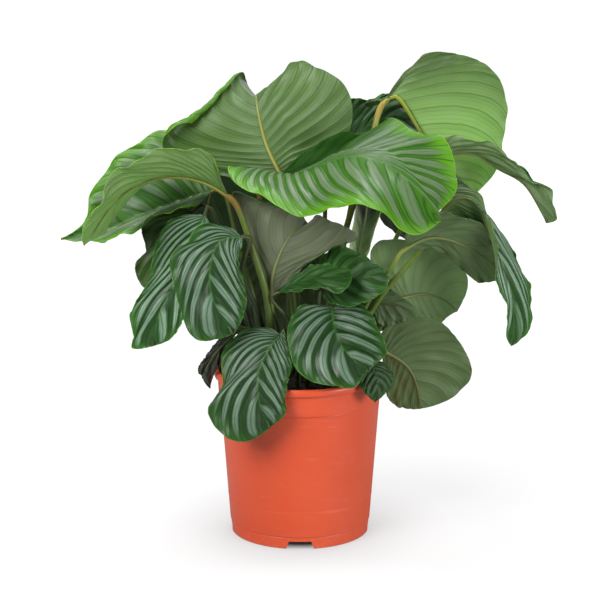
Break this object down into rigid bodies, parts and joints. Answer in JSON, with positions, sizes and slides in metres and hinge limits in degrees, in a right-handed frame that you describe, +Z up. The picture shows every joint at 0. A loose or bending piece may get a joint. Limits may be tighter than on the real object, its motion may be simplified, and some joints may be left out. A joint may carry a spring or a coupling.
{
  "type": "potted plant",
  "caption": "Leafy house plant with broad striped leaves on thin upright stalks, standing in a round tapered plastic nursery pot with a rolled rim",
  "frame": {"origin": "on the pot's axis, on the surface that the pot stands on", "axes": "+Z up, the plant's pictured front faces -Y, +X to the viewer's right"},
  "size_m": [0.6151, 0.4308, 0.6002],
  "materials": {
    "pot_plastic": "smooth satin moulded plastic, orange terracotta colour",
    "peat": "dark crumbly potting soil",
    "leaf_bright": "glossy bright green upper side with pale silver bands, matte light green underside",
    "leaf_dark": "glossy dark green upper side with silver bands, matte grey green underside",
    "leaf_young": "matte pale green rolled leaf"
  },
  "bodies": {
    "root": {"pot": "pot_plastic", "soil": "peat", "leaf_crown": "leaf_bright", "leaf_left_shoulder": "leaf_bright", "leaf_front_crown": "leaf_bright", "leaf_left_arch": "leaf_bright", "leaf_right_arch": "leaf_bright", "leaf_far_right": "leaf_dark", "leaf_right_drooping": "leaf_dark", "leaf_right_middle": "leaf_dark", "leaf_right_shaded": "leaf_dark", "leaf_right_curled": "leaf_dark", "leaf_lower_right": "leaf_dark", "leaf_front_round": "leaf_dark", "leaf_front_small": "leaf_dark", "leaf_centre_front": "leaf_dark", "leaf_centre_behind": "leaf_dark", "leaf_front_left": "leaf_dark", "leaf_left_hanging": "leaf_dark", "leaf_left_wavy": "leaf_dark", "leaf_lower_left": "leaf_dark", "leaf_lower_narrow": "leaf_dark", "leaf_centre_grey": "leaf_dark", "young_leaf_rolled": "leaf_young", "leaf_behind_crown": "leaf_bright", "leaf_back_left": "leaf_dark", "leaf_back_middle": "leaf_dark", "leaf_back_right": "leaf_dark", "leaf_back_low": "leaf_dark", "leaf_back_low_right": "leaf_dark"}
  },
  "joints": []
}
